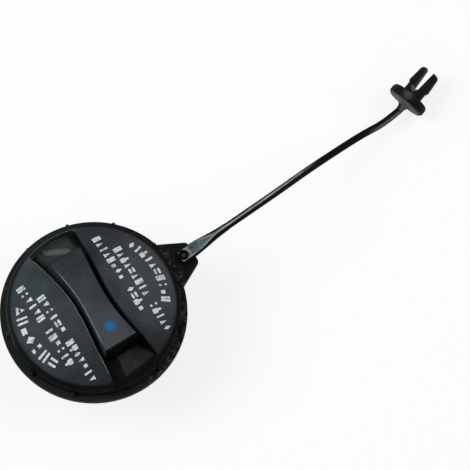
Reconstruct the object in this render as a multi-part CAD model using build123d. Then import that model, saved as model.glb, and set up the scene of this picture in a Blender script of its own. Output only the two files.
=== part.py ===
from build123d import *
import math
import os

# Screw-in fuel filler cap with a ratchet grip, a two-way vent valve and a moulded tether.
# Millimetres, +Z up. The origin is on the cap's axis, at the bottom edge of the plug.
# +X points at the tether lug and +Y along the grip bar.

# ---- grip shell ----
ring_top = 34.0            # top face of the tether ring, which the skirt's shoulder covers
skirt_wall = 4.0           # ribbed skirt, from its outside to the closure flange's room
rim_height = 7.6           # corner of skirt and dome, above the tether ring
rim_fillet = 3.0
dome_radius = 72.0         # sphere that the two grip segments follow
shell_wall = 2.0           # dome, channel floor and bar
skirt_bottom = 27.5
groove_depth = 1.6         # of the tether ring's groove, from the skirt's outside
bead_height = 0.8          # snap bead under the tether ring, beyond the groove's bottom
bead_chamfer = 0.6
rib_count = 12
rib_height = 1.6
rib_width = 1.3
rib_round = 0.5
rib_sink = 2.2             # how far a rib runs into the skirt
rib_top_drop = 1.6         # from the rim's corner to the top of a rib

# ---- grip bar and the channel that it stands in ----
bar_top = 19.5             # above the tether ring
bar_length = 44.0
bar_end_width = 14.9
bar_waist_width = 10.6
bar_waist_offset = 4.5     # each side's narrowest point, from the middle of the bar
bar_wide_angle = 11.0      # how far a side leans out where its end is wide
bar_narrow_angle = 4.5     # and where it is narrow
bar_draft = 2.5
bar_fillet = 0.7
channel_gap = 2.4          # between the bar and a segment, at the top
channel_draft = 2.5
channel_floor = 4.0        # above the tether ring
channel_lip = 2.4          # rim left standing across each end of the channel
channel_fillet = 0.4
channel_corner = 1.2       # upright corners of the channel

# ---- ratchet ----
tooth_count = 36
tooth_height = 1.5
tooth_gap = 0.3            # between a pawl and the tooth space that it rests in
tooth_rise = 0.6           # from the closure flange to the teeth
tooth_steep = 6.2          # angle from a tooth's root to its steep face
tooth_land = 1.2           # angle that its tip covers
pawl_count = 4
pawl_arm = 1.4             # thickness of a pawl's spring arm
pawl_span = 52.0           # angle that an arm covers
pawl_ramp = 5.0            # angle that a pawl's slope covers
pawl_land = 0.9            # angle that its tip covers
pawl_root_width = 3.0
torque_ring_height = 3.6
torque_ring_width = 3.2
key_count = 4
key_width = 5.0
key_depth = 1.3
key_sink = 1.0             # how far a key runs into the hub
key_clearance = 0.25

# ---- closure body ----
plug_radius = 19.5         # core of the thread
plug_bore = 16.9
pilot_radius = 18.8        # plain lead-in under the thread
pilot_length = 3.0
thread_height = 2.1        # crest above the core
thread_pitch = 6.35
thread_turns = 1.4
thread_root_width = 3.4
thread_crest_width = 1.5
thread_sink = 0.6          # how far the ridge runs into the core
thread_start = 6.6         # middle of the thread's section, at its lower end
neck_start = 18.5          # where the plug flares out to the gasket's seat
gasket_seat_radius = 21.8
gasket_bead = 0.7          # stands out under the gasket to hold it
gasket_width = 4.3
gasket_height = 4.4
gasket_fillet = 1.0
gasket_slot_height = 1.4
gasket_slot_depth = 2.3
gasket_slot_fillet = 0.6
flange_thickness = 2.0
flange_clearance = 0.4     # round the flange, inside the skirt
running_gap = 0.3          # between faces that turn on each other
hub_wall = 2.0
upper_bore = 16.0
lid_thickness = 1.6
lid_drop = 1.3             # from the hub's top edge to the lid
lid_slot_length = 5.0
lid_slot_width = 1.8
lid_slot_place = 9.6
vent_count = 6

# ---- lock ring ----
lock_ring_thickness = 1.0
lock_ring_width = 5.8
lock_ring_seat = 0.9       # how deep it snaps into the skirt
lock_ring_gap = 1.0        # round the gasket
fit_clearance = 0.1        # between pieces that are pressed or snapped together

# ---- vent valve ----
housing_recess = 1.6       # from the plug's bottom edge
housing_wall = 1.8
housing_floor = 1.8
housing_top = 19.2
port_radius = 7.0
seat_lip_width = 1.3
seat_lip_height = 1.0
valve_gap = 0.3            # between a valve's faces at rest
seal_outer_radius = 9.6
seal_inner_radius = 3.9
seal_thickness = 1.2
plate_radius = 10.4
plate_thickness = 1.4
plate_rim = 1.3
plate_rim_width = 0.65
plate_vent_radius = 0.7
plate_vent_place = 2.75
poppet_radius = 5.4
poppet_thickness = 1.4
stem_radius = 1.3
stem_clearance = 0.08
stem_top = 13.4
clip_radius = 3.1
clip_thickness = 1.2
spring_cap_thickness = 1.6
spring_guide_wall = 1.0    # ring that keeps the large spring in the middle
spring_guide_height = 1.6
spring_gap = 0.1           # between a spring's end and its seat
spring_play = 0.2          # between the large spring and its guide
cap_hole_radius = 1.5
cap_hole_place = 12.1
pressure_spring_radius = 8.0
pressure_spring_wire = 1.2
pressure_spring_turns = 4
vacuum_spring_radius = 2.2
vacuum_spring_wire = 0.45
vacuum_spring_turns = 4

# ---- tether ring ----
ring_reach = 2.7           # beyond the skirt
ring_thickness = 2.4
ring_clearance = 0.25      # round the groove's bottom
pin_reach = 5.1            # from the ring's edge to the pin
lug_reach = 4.5            # from the pin to the lug's end
lug_base_width = 21.2
lug_end_width = 9.6
lug_sink = 2.0             # how far the lug runs into the ring
lug_fillet = 1.6
pin_radius = 1.6
pin_clearance = 0.08
pin_head_radius = 2.1
pin_head_height = 0.9
pin_dimple_radius = 1.1
pin_dimple_depth = 0.7

# ---- tether ----
paddle_thickness = 2.4
paddle_width = 6.2
paddle_shoulder = 10.0     # from the pin to where the sides run in fastest
paddle_shoulder_width = 5.0
paddle_length = 22.0
paddle_heel = 2.6          # from the pin back to the paddle's square end
paddle_heel_fillet = 2.0
paddle_bevel = 0.75        # along the upper edges
paddle_under_bevel = 0.4
paddle_angle = 3.5         # from +X, seen from above
strap_diameter = 3.1
strap_lead = 12.0          # straight on from the paddle
strap_tail = 8.0           # straight into the clip
strap_entry = 9.0          # angle at which it comes to the clip, from the clip's axis
strap_share = 0.45         # of the shorter run, that a bend takes up
clip_place = (164.8, 14.7) # middle of the clip's flange, on the ground
clip_angle = 17.4          # of the clip's axis, from +X
clip_tilt = 8.0            # its prongs point up a little, as it lies
clip_flange_radius = 8.7
clip_flange_thickness = 4.9
clip_flange_fillet = 1.9
clip_boss_length = 3.2     # flare from the strap to the flange
clip_boss_radius = 4.6     # where the flare runs out on the flange
clip_neck_radius = 4.45
clip_neck_length = 3.6
clip_barb_radius = 5.1
clip_barb_rise = 1.3       # length over which the neck widens to the barb
clip_tip_radius = 4.4
clip_tip_fillet = 1.6
clip_length = 12.9         # of the prongs, from the flange
clip_depth = 6.2           # prongs are flattened to this, above and below
clip_slot_root = 2.2       # width of the slot at its root
clip_slot_mouth = 3.6      # and between the tips
clip_slot_start = 2.7      # solid web left next to the flange
clip_floor_gap = 0.2       # between the flange's edge and the ground

# ---- worked out ----
gasket_outer = gasket_seat_radius + fit_clearance + gasket_width
lock_ring_bore = gasket_outer + lock_ring_gap
lock_ring_rim = lock_ring_bore + lock_ring_width
skirt_bore = lock_ring_rim + fit_clearance - lock_ring_seat
skirt_radius = skirt_bore + skirt_wall
ring_radius = skirt_radius + ring_reach
pin_place = ring_radius + pin_reach
shoulder = ring_top + running_gap
rim_corner = ring_top + rim_height
dome_sink = dome_radius - math.sqrt(dome_radius ** 2 - skirt_radius ** 2)
dome_centre = rim_corner + dome_sink - dome_radius
dome_top = dome_centre + dome_radius
groove_radius = skirt_radius - groove_depth
bead_radius = groove_radius + bead_height
bead_top = ring_top - ring_thickness - running_gap
floor_level = ring_top + channel_floor
ceiling = floor_level - shell_wall
bar_level = ring_top + bar_top
lip_radius = skirt_radius - channel_lip
hub_top = ceiling - running_gap
flange_radius = skirt_bore - flange_clearance
lock_ring_level = skirt_bottom + bead_chamfer
flange_level = lock_ring_level + lock_ring_thickness + running_gap
flange_top = flange_level + flange_thickness
gasket_level = flange_level - gasket_height
hub_bore = upper_bore + hub_wall
hub_radius = hub_bore + hub_wall
lid_level = hub_top - lid_drop - lid_thickness
tooth_level = flange_top + tooth_rise
tooth_tip = skirt_bore - tooth_height
tooth_step = 360 / tooth_count
torque_bore = hub_radius + key_clearance
torque_rim = torque_bore + torque_ring_width
housing_radius = plug_bore - fit_clearance
housing_bore = housing_radius - housing_wall
seat_level = housing_recess + housing_floor
seat_top = seat_level + seat_lip_height
seal_level = seat_top + valve_gap
plate_level = seal_level + seal_thickness
plate_top = plate_level + plate_thickness
poppet_top = seal_level - valve_gap
eyelet_level = ring_top + running_gap
eyelet_middle = eyelet_level + paddle_thickness / 2
clip_level = clip_flange_radius + clip_floor_gap
clip_rear = clip_flange_thickness / 2 + clip_boss_length
inside = 0.5               # how far solids that are fused run into each other
beyond = 1.0               # how far a cut runs out past its solid
cap_axis = Axis.Z


def tube(outer, inner, low, high):
    """A plain ring about the cap's axis."""
    ring = Circle(outer) - Circle(inner)
    return extrude(Plane.XY.offset(low) * ring, high - low)


def drum(radius, low, high):
    """A plain cylinder about the cap's axis."""
    return extrude(Plane.XY.offset(low) * Circle(radius), high - low)


def turned(points):
    """A solid of revolution from its half section, as (radius, height) corners."""
    section = make_face(Polyline(*points, close=True))
    return revolve(Plane.XZ * section, cap_axis)


def around(shape, count, start=0.0):
    """Copies of a shape, evenly spaced about the cap's axis."""
    return [Rot(0, 0, start + i * 360 / count) * shape for i in range(count)]


def slant(angle):
    """The way a bar's side runs, as seen from above."""
    return (math.sin(math.radians(angle)), math.cos(math.radians(angle)))


def bar_side(gap, longer=0.0):
    """The +X side of the bar from its -Y end up, moved outwards by a gap."""
    end = bar_end_width / 2 + gap
    waist = bar_waist_width / 2 + gap
    half = bar_length / 2 + longer
    wide = slant(-bar_wide_angle)
    narrow = slant(bar_narrow_angle)
    return Spline((end, -half), (waist, -bar_waist_offset), (end, half), tangents=(wide, narrow))


def two_sides(run, level):
    """A face from one side's run of edges and its copy turned half round."""
    other = [Rot(0, 0, 180) * piece for piece in run]
    ends = [Line(run[-1] @ 1, other[0] @ 0), Line(other[-1] @ 1, run[0] @ 0)]
    return Pos(0, 0, level) * make_face([*run, *other, *ends])


def bar_outline(grow, level):
    """The bar's section at a level: its sides and ends move out together."""
    return two_sides([bar_side(grow, grow)], level)


def channel_outline(gap, level):
    """The channel's section at a level: the bar's sides plus a gap, run out past the rim."""
    side = bar_side(gap)
    far = skirt_radius + beyond - bar_length / 2
    wide_run = far * math.tan(math.radians(bar_wide_angle))
    narrow_run = far * math.tan(math.radians(bar_narrow_angle))
    low = Line(side @ 0 + Vector(wide_run, -far), side @ 0)
    high = Line(side @ 1, side @ 1 + Vector(narrow_run, far))
    return two_sides([low, side, high], level)


def lean(height, draft):
    """How far a drafted wall moves sideways over a height."""
    return height * math.tan(math.radians(draft))


def channel_room():
    """What is cut out between the two segments, narrower towards the floor."""
    top = dome_top + beyond
    narrowed = channel_gap - lean(top - floor_level, channel_draft)
    room = loft([channel_outline(narrowed, floor_level), channel_outline(channel_gap, top)])
    room = room & drum(lip_radius, floor_level - beyond, top + beyond)
    corners = [edge for edge in room.edges() if abs(edge.tangent_at(0.5).Z) > 0.9]
    return fillet(corners, channel_corner)


def rim_body():
    """The solid outside of the shell: dome, ribbed skirt, ring groove and snap bead."""
    corner = (skirt_radius, rim_corner)
    dome = RadiusArc((0, dome_top), corner, dome_radius)
    wall = Polyline(
        corner,
        (skirt_radius, shoulder),
        (groove_radius, shoulder),
        (groove_radius, bead_top),
        (bead_radius, bead_top),
        (bead_radius, skirt_bottom + bead_chamfer),
        (bead_radius - bead_chamfer, skirt_bottom),
        (0, skirt_bottom),
        (0, dome_top),
    )
    body = revolve(Plane.XZ * make_face([dome, wall]), cap_axis)
    rim = [e for e in body.edges() if abs(e.center().Z - rim_corner) < 0.01]
    return fillet(rim, rim_fillet)


def grip_ribs():
    """Round-topped ribs on the skirt, one each side of the bar's ends."""
    height = rim_corner - rib_top_drop - shoulder
    reach = rib_height + rib_sink
    middle = Pos(skirt_radius + rib_height - reach / 2, 0, shoulder + height / 2)
    rib = middle * Box(reach, rib_width, height)
    outer = rib.edges().filter_by(Axis.Z).sort_by(Axis.X)[-2:]
    top = rib.edges().filter_by(Axis.Y).sort_by(Axis.Z)[-2:].sort_by(Axis.X)[-1:]
    rib = fillet([*outer, *top], rib_round)
    return around(rib, rib_count, 180 / rib_count)


def grip_bar():
    """The bar that is turned by hand."""
    spread = lean(bar_level - ceiling, bar_draft)
    bar = loft([bar_outline(spread, ceiling), bar_outline(0, bar_level)])
    return fillet(bar.edges().group_by(Axis.Z)[-1], bar_fillet)


def bar_core():
    """The bar is hollow from below."""
    low = ceiling - beyond
    top = bar_level - shell_wall
    spread = lean(top - low, bar_draft)
    return loft([bar_outline(spread - shell_wall, low), bar_outline(-shell_wall, top)])


def segment_cores():
    """What is cored out under the two domed segments, leaving an even wall."""
    inner_radius = dome_radius - shell_wall
    side = skirt_bore
    low = ceiling - beyond
    edge = dome_centre + math.sqrt(inner_radius ** 2 - side ** 2)
    arc = RadiusArc((0, dome_centre + inner_radius), (side, edge), inner_radius)
    wall = Polyline((side, edge), (side, low), (0, low), (0, dome_centre + inner_radius))
    room = revolve(Plane.XZ * make_face([arc, wall]), cap_axis)
    walls = channel_outline(channel_gap + shell_wall, low - beyond)
    return room - extrude(walls, 2 * bar_top)


def ratchet_teeth():
    """Inward teeth: steep towards +angle, so unscrewing drives and over-tightening clicks."""
    root = skirt_bore + inside
    land = tooth_steep - tooth_land
    corners = [(root, 0), (root, tooth_steep), (tooth_tip, tooth_steep), (tooth_tip, land)]
    tooth = make_face(Polyline(*[turn_point(r, a) for r, a in corners], close=True))
    solid = extrude(Plane.XY.offset(tooth_level) * tooth, ceiling - tooth_level + inside)
    return around(solid, tooth_count)


def turn_point(radius, angle):
    """A point in plan from its radius and its angle in degrees."""
    return (radius * math.cos(math.radians(angle)), radius * math.sin(math.radians(angle)))


def on_dome(edge):
    """Whether an edge lies on the dome's sphere, inside the rim."""
    spot = edge @ 0.5
    off = (spot - Vector(0, 0, dome_centre)).length - dome_radius
    return abs(off) < fit_clearance and math.hypot(spot.X, spot.Y) < lip_radius + fit_clearance


def round_channel(shell):
    """Rounds the edges where the channel breaks through the dome."""
    return fillet([edge for edge in shell.edges() if on_dome(edge)], channel_fillet)


def grip_shell():
    """Skirt, dome, bar and ratchet teeth, in one moulding."""
    shell = round_channel(rim_body() - channel_room())
    shell = shell + grip_bar()
    shell = shell - drum(skirt_bore, skirt_bottom, ceiling)
    shell = shell - segment_cores() - bar_core()
    shell = shell + ratchet_teeth() + grip_ribs()
    seat = skirt_bore + lock_ring_seat
    room = lock_ring_thickness + fit_clearance
    return shell - drum(seat, lock_ring_level, lock_ring_level + room)


def lock_ring():
    """Snaps into the skirt and holds the closure's flange in."""
    return tube(lock_ring_rim, lock_ring_bore, lock_ring_level, lock_ring_level + lock_ring_thickness)


def thread_ridge():
    """One coarse ridge, swept along its helix and sunk a little into the core."""
    path = Pos(0, 0, thread_start) * Helix(thread_pitch, thread_pitch * thread_turns, plug_radius)
    flank = (thread_root_width - thread_crest_width) / 2 / thread_height
    root = thread_root_width / 2 + thread_sink * flank
    crest = thread_crest_width / 2
    corners = [(-thread_sink, -root), (-thread_sink, root), (thread_height, crest), (thread_height, -crest)]
    plane = Plane(origin=path @ 0, x_dir=(1, 0, 0), z_dir=(0, -1, 0))
    section = plane * make_face(Polyline(*corners, close=True))
    return sweep(section, path=path, is_frenet=True)


def keys():
    """Four keys on the hub that carry the torque ring."""
    reach = key_depth + key_sink
    middle = Pos(hub_radius + key_depth - reach / 2, 0, flange_top + torque_ring_height / 2)
    key = middle * Box(reach, key_width, torque_ring_height)
    return around(key, key_count, 180 / key_count)


def closure_body():
    """Threaded plug, gasket seat, flange and hub, in one moulding."""
    flare = gasket_seat_radius + gasket_bead
    bead = gasket_level - gasket_bead - fit_clearance
    body = turned([
        (plug_bore, 0),
        (pilot_radius, 0),
        (pilot_radius, pilot_length),
        (plug_radius, pilot_length + plug_radius - pilot_radius),
        (plug_radius, neck_start),
        (flare, bead - gasket_bead),
        (flare, bead),
        (gasket_seat_radius, bead + gasket_bead),
        (gasket_seat_radius, flange_level),
        (flange_radius, flange_level),
        (flange_radius, flange_top),
        (hub_radius, flange_top),
        (hub_radius, hub_top),
        (hub_bore, hub_top),
        (hub_bore, lid_level),
        (upper_bore, lid_level),
        (upper_bore, housing_top + spring_cap_thickness),
        (plug_bore, housing_top + spring_cap_thickness),
    ])
    return body + thread_ridge() + keys()


def closure_lid():
    """Closes the hub over the valve, and lets vapour out through its slots."""
    lid = drum(hub_bore - fit_clearance, lid_level, lid_level + lid_thickness)
    outline = SlotOverall(lid_slot_length, lid_slot_width)
    slot = extrude(Plane.XY.offset(lid_level) * outline, lid_thickness)
    return lid - around(Pos(lid_slot_place, 0) * slot, vent_count)


def neck_gasket():
    """C-section seal that the filler neck's edge squeezes."""
    inner = gasket_seat_radius + fit_clearance
    block = Pos((inner + gasket_outer) / 2, gasket_level + gasket_height / 2)
    section = block * RectangleRounded(gasket_width, gasket_height - fit_clearance, gasket_fillet)
    slot_place = Pos(gasket_outer - gasket_slot_depth / 2 + beyond / 2, gasket_level + gasket_height / 2)
    slot_width = gasket_slot_depth + beyond
    section -= slot_place * RectangleRounded(slot_width, gasket_slot_height, gasket_slot_fillet)
    return revolve(Plane.XZ * section, cap_axis)


def pawl_arm_outline():
    """A spring arm: its root on the ring, a curved blade, and the pawl at its free end."""
    blade = tooth_tip - tooth_gap - pawl_arm
    low = 360 / pawl_count - pawl_span
    band = Circle(blade + pawl_arm) - Circle(blade)
    far = 2 * skirt_bore
    corners = [turn_point(far, low + pawl_span * share) for share in (0, 0.5, 1)]
    band = band & make_face(Polyline((0, 0), *corners, close=True))
    reach = blade - torque_rim + 2 * pawl_arm
    root = Pos((torque_rim + blade) / 2, -pawl_root_width / 2) * Rectangle(reach, pawl_root_width)
    return band + Rot(0, 0, low + pawl_span) * root + pawl_tooth(low, blade)


def pawl_tooth(low, blade):
    """The pawl fills the space between two ratchet teeth, less the gap on every side."""
    steps = round(low / tooth_step)
    steep = steps * tooth_step + tooth_steep + math.degrees(tooth_gap / skirt_bore)
    ramp = steep + pawl_ramp
    tip = skirt_bore - tooth_gap
    arm_top = blade + pawl_arm
    corners = [(blade, steep), (tip, steep), (tip, steep + pawl_land), (arm_top, ramp), (blade, ramp)]
    return make_face(Polyline(*[turn_point(r, a) for r, a in corners], close=True))


def torque_ring():
    """Keyed to the closure: its pawls slip past the shell's teeth once the cap is tight."""
    plan = Circle(torque_rim) - Circle(torque_bore)
    notch = Rectangle(key_depth + 2 * key_clearance, key_width + 2 * key_clearance)
    plan -= around(Pos(hub_radius + key_depth / 2, 0) * notch, key_count, 180 / key_count)
    plan += around(pawl_arm_outline(), pawl_count)
    return extrude(Plane.XY.offset(flange_top) * plan, torque_ring_height)


def valve_housing():
    """Cup pressed into the plug from below, with the vent port and its raised seat."""
    return turned([
        (port_radius, housing_recess),
        (housing_radius, housing_recess),
        (housing_radius, housing_top),
        (housing_bore, housing_top),
        (housing_bore, seat_level),
        (port_radius + seat_lip_width, seat_level),
        (port_radius + seat_lip_width, seat_top),
        (port_radius, seat_top),
    ])


def spring_cap():
    """Closes the cup, and is what the large spring pushes against."""
    top = housing_top + spring_cap_thickness
    guide = pressure_spring_radius - pressure_spring_wire / 2 - spring_play
    cap = drum(housing_radius, housing_top, top)
    cap += tube(guide, guide - spring_guide_wall, housing_top - spring_guide_height, housing_top)
    hole = drum(cap_hole_radius, housing_top, top)
    return cap - around(Pos(cap_hole_place, 0) * hole, vent_count) - hole


def coil(radius, wire, turns, low, high):
    """A coil spring of round wire, with its ends a gap short of both seats."""
    low_end = low + spring_gap + wire / 2
    height = high - spring_gap - wire / 2 - low_end
    path = Pos(0, 0, low_end) * Helix(height / turns, height, radius)
    section = Plane(origin=path @ 0, z_dir=path % 0) * Circle(wire / 2)
    return sweep(section, path=path, is_frenet=True)


def pressure_spring():
    """Holds the large valve shut."""
    wire = pressure_spring_wire
    return coil(pressure_spring_radius, wire, pressure_spring_turns, plate_top, housing_top)


def vacuum_spring():
    """Holds the small valve shut, under the stem's clip."""
    top = stem_top - clip_thickness
    return coil(vacuum_spring_radius, vacuum_spring_wire, vacuum_spring_turns, plate_top, top)


def valve_plate():
    """Carries the seal, and is lifted by pressure in the tank."""
    plate = drum(plate_radius, plate_level, plate_top)
    plate += tube(plate_radius, plate_radius - plate_rim_width, plate_top, plate_top + plate_rim)
    plate -= drum(stem_radius + stem_clearance, plate_level, plate_top)
    vent = Pos(plate_vent_place, 0) * drum(plate_vent_radius, plate_level, plate_top)
    return plate - around(vent, 4)


def valve_seal():
    """Flat washer under the plate, for both valves."""
    return tube(seal_outer_radius, seal_inner_radius, seal_level, plate_level)


def vacuum_poppet():
    """Hangs on its stem under the plate, and drops to let air in."""
    head = drum(poppet_radius, poppet_top - poppet_thickness, poppet_top)
    return head + drum(stem_radius, poppet_top, stem_top)


def stem_clip():
    """Pressed on the stem's end."""
    return tube(clip_radius, stem_radius, stem_top - clip_thickness, stem_top)


def lug_outline():
    """The lug in plan, from inside the ring out to past the pin."""
    base = lug_base_width / 2
    end = lug_end_width / 2
    root = math.sqrt(ring_radius ** 2 - base ** 2)
    tip = pin_place + lug_reach
    upper = [(tip, end), (root, base), (root - lug_sink, base)]
    lower = [(x, -y) for x, y in reversed(upper)]
    lug = make_face(Polyline(*lower, *upper, close=True))
    return fillet(lug.vertices().sort_by(Axis.X)[-2:], lug_fillet)


def tether_ring():
    """Turns in the skirt's groove; the tether's pin is moulded on its lug."""
    bore = Circle(groove_radius + ring_clearance)
    plan = Circle(ring_radius) + lug_outline() - bore
    ring = extrude(Plane.XY.offset(ring_top - ring_thickness) * plan, ring_thickness)
    return ring + Pos(pin_place, 0) * tether_pin()


def tether_pin():
    """Headed pin with a dimple in its top."""
    shaft_top = eyelet_level + paddle_thickness + running_gap
    head_top = shaft_top + pin_head_height
    pin = drum(pin_radius, ring_top, shaft_top)
    pin += drum(pin_head_radius, shaft_top, head_top)
    return pin - drum(pin_dimple_radius, head_top - pin_dimple_depth, head_top)


def paddle_frame():
    """At the pin, halfway up the paddle, with its X along the paddle."""
    return Pos(pin_place, 0, eyelet_middle) * Rot(0, 0, paddle_angle)


def paddle_side(side):
    """One side of the paddle in plan, from beside the pin to the strap."""
    wide = side * paddle_width / 2
    narrow = side * strap_diameter / 2
    middle = (paddle_shoulder, side * paddle_shoulder_width / 2)
    return Spline((0, wide), middle, (paddle_length, narrow), tangents=((1, 0), (1, 0)))


def paddle_outline():
    """The paddle in plan: a square heel behind the pin, and sides that run in to the strap."""
    upper = paddle_side(1)
    lower = paddle_side(-1)
    half = paddle_width / 2
    heel = Polyline((0, half), (-paddle_heel, half), (-paddle_heel, -half), (0, -half))
    plan = make_face([upper, Line(upper @ 1, lower @ 1), lower, heel])
    return fillet(plan.vertices().sort_by(Axis.X)[:2], paddle_heel_fillet)


def tether_eyelet():
    """The flat paddle with an eye for the pin, bevelled along its edges."""
    plan = Plane.XY.offset(-paddle_thickness / 2) * paddle_outline()
    paddle = extrude(plan, paddle_thickness)
    end = paddle.faces().sort_by(Axis.X)[-1].edges()
    levels = paddle.edges().filter_by(lambda edge: edge not in end).group_by(Axis.Z)
    paddle = chamfer(levels[-1], paddle_bevel)
    under = paddle.edges().filter_by(lambda edge: edge not in end).group_by(Axis.Z)[0]
    paddle = chamfer(under, paddle_under_bevel)
    hole = Cylinder(pin_radius + pin_clearance, paddle_thickness + beyond)
    return paddle_frame() * (paddle - hole)


def clip_frame():
    """Middle of the clip's flange, with its X along the prongs."""
    return Pos(*clip_place, clip_level) * Rot(0, 0, clip_angle) * Rot(0, -clip_tilt, 0)


def strap_points():
    """The strap's route: out of the paddle, down to the ground's level, into the clip's boss."""
    start = (paddle_frame() * Pos(paddle_length, 0, 0)).position
    lead = (paddle_frame() * Pos(paddle_length + strap_lead, 0, 0)).position
    entry = clip_frame() * Pos(-clip_rear, 0, 0) * Rot(0, 0, -strap_entry)
    tail = (entry * Pos(-strap_tail, 0, 0)).position
    end = (entry * Pos(inside, 0, 0)).position
    middle = [(94, 4.3, 30.5), (112, 8.1, 20.9), (130, 10.9, 12.6), (141.3, 12.1, 8.6)]
    return [start, lead, *[Vector(*spot) for spot in middle], tail, end]


def bend_radii(points):
    """Each bend's radius, as large as the runs beside it allow."""
    radii = []
    for before, here, after in zip(points, points[1:], points[2:]):
        turn = (here - before).get_angle(after - here)
        shorter = min((here - before).length, (after - here).length)
        radii.append(strap_share * shorter / math.tan(math.radians(turn / 2)))
    return radii


def tether_strap():
    points = strap_points()
    radii = bend_radii(points)
    path = FilletPolyline(*points, radius=radii)
    section = Plane(origin=path @ 0, z_dir=path % 0) * Circle(strap_diameter / 2)
    strap = sweep(section, path=path)
    past_end = clip_frame() * Pos(strap_diameter - clip_rear, 0, 0)
    strap -= past_end * Box(2 * strap_diameter, 3 * strap_diameter, 3 * strap_diameter)
    full = math.pi * strap_diameter ** 2 / 4 * path.length
    print("strap radii", [round(r, 1) for r in radii])
    print("strap length", round(path.length, 1), "volume share", round(strap.volume / full, 4))
    return strap


def clip_profile():
    """Half section of the clip: flare, rounded flange, neck, barb and tip."""
    face = clip_flange_thickness / 2
    tip = face + clip_length
    neck_end = face + clip_neck_length
    barb = neck_end + clip_barb_rise
    strap = strap_diameter / 2
    rear = -clip_rear
    flare = Spline((rear, strap), (-face, clip_boss_radius), tangents=((1, 0), (0, 1)))
    outline = Polyline(
        (-face, clip_boss_radius),
        (-face, clip_flange_radius),
        (face, clip_flange_radius),
        (face, clip_neck_radius),
        (neck_end, clip_neck_radius),
        (barb, clip_barb_radius),
        (tip, clip_tip_radius),
        (tip, 0),
        (rear, 0),
        (rear, strap),
    )
    profile = make_face([flare, outline])
    rim = [v for v in profile.vertices() if abs(v.Y - clip_flange_radius) < inside]
    profile = fillet(rim, clip_flange_fillet)
    ends = [v for v in profile.vertices() if v.X > tip - inside and v.Y > inside]
    return fillet(ends, clip_tip_fillet)


def clip_slot():
    """The room between the prongs, wider at their tips, with a round root."""
    start = clip_flange_thickness / 2 + clip_slot_start
    far = clip_flange_thickness / 2 + clip_length
    root = clip_slot_root / 2
    mouth = clip_slot_mouth / 2
    corners = [(start + root, -root), (far, -mouth), (far + beyond, -mouth)]
    others = [(x, -y) for x, y in reversed(corners)]
    plan = make_face(Polyline(*corners, *others, close=True))
    plan += Pos(start + root, 0) * Circle(root)
    return extrude(plan, clip_flange_radius, both=True)


def push_clip():
    """Flange, flared boss and two barbed prongs that spring through a panel's hole."""
    body = revolve(clip_profile(), Axis.X)
    size = clip_length + beyond
    front = Pos(clip_flange_thickness / 2 + size / 2, 0, 0)
    width = 2 * clip_flange_radius
    spare = front * Box(size, width, width) - front * Box(size, width, clip_depth)
    return clip_frame() * (body - spare - clip_slot())


makers = [
    grip_shell, lock_ring, torque_ring, closure_body, closure_lid, neck_gasket,
    valve_housing, spring_cap, pressure_spring, valve_plate, valve_seal,
    vacuum_poppet, vacuum_spring, stem_clip,
    tether_ring, tether_eyelet, tether_strap, push_clip,
]
os.makedirs("parts", exist_ok=True)
for maker in makers:
    export_step(maker(), f"parts/{maker.__name__}.step")
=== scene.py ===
import math
import random

import bmesh
import bpy
from mathutils import Matrix, Vector


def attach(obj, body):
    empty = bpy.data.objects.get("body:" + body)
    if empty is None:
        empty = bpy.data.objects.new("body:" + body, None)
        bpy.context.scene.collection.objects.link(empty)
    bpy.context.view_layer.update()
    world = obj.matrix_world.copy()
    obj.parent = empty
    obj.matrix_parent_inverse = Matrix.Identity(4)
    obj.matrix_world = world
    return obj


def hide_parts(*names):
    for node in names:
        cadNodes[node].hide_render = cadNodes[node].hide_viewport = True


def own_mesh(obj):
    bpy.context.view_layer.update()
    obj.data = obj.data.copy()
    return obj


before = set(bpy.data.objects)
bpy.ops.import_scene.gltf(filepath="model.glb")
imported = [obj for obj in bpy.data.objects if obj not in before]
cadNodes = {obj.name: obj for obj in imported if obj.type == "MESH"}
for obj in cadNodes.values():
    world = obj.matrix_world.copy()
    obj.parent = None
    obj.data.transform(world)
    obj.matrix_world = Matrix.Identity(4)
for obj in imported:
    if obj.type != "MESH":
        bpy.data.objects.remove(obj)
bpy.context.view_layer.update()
mm = 0.001
print("frame loaded:", len(cadNodes), "nodes")


# Camera, seen from 3 m so that it is nearly without perspective
view = {
    "target": (67.77, -2.37, 30.66),  # mm
    "azimuth": -32.33,                # degrees
    "elevation": 72.84,
    "distance": 3.0,                  # metres
    "lens": 552.4,                    # mm
    "sensor": 36.0,
}


def direction(azimuth, elevation):
    # unit vector from the object towards something seen at these angles
    a, e = math.radians(azimuth), math.radians(elevation)
    return Vector((math.sin(a) * math.cos(e), -math.cos(a) * math.cos(e), math.sin(e)))


def addCamera():
    data = bpy.data.cameras.new("camera")
    data.lens = view["lens"]
    data.sensor_width = view["sensor"]
    data.clip_end = 20
    camera = bpy.data.objects.new("camera", data)
    back = direction(view["azimuth"], view["elevation"])
    camera.location = Vector(view["target"]) * mm + back * view["distance"]
    camera.rotation_euler = back.to_track_quat("Z", "Y").to_euler()
    bpy.context.scene.collection.objects.link(camera)
    bpy.context.scene.camera = camera


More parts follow.
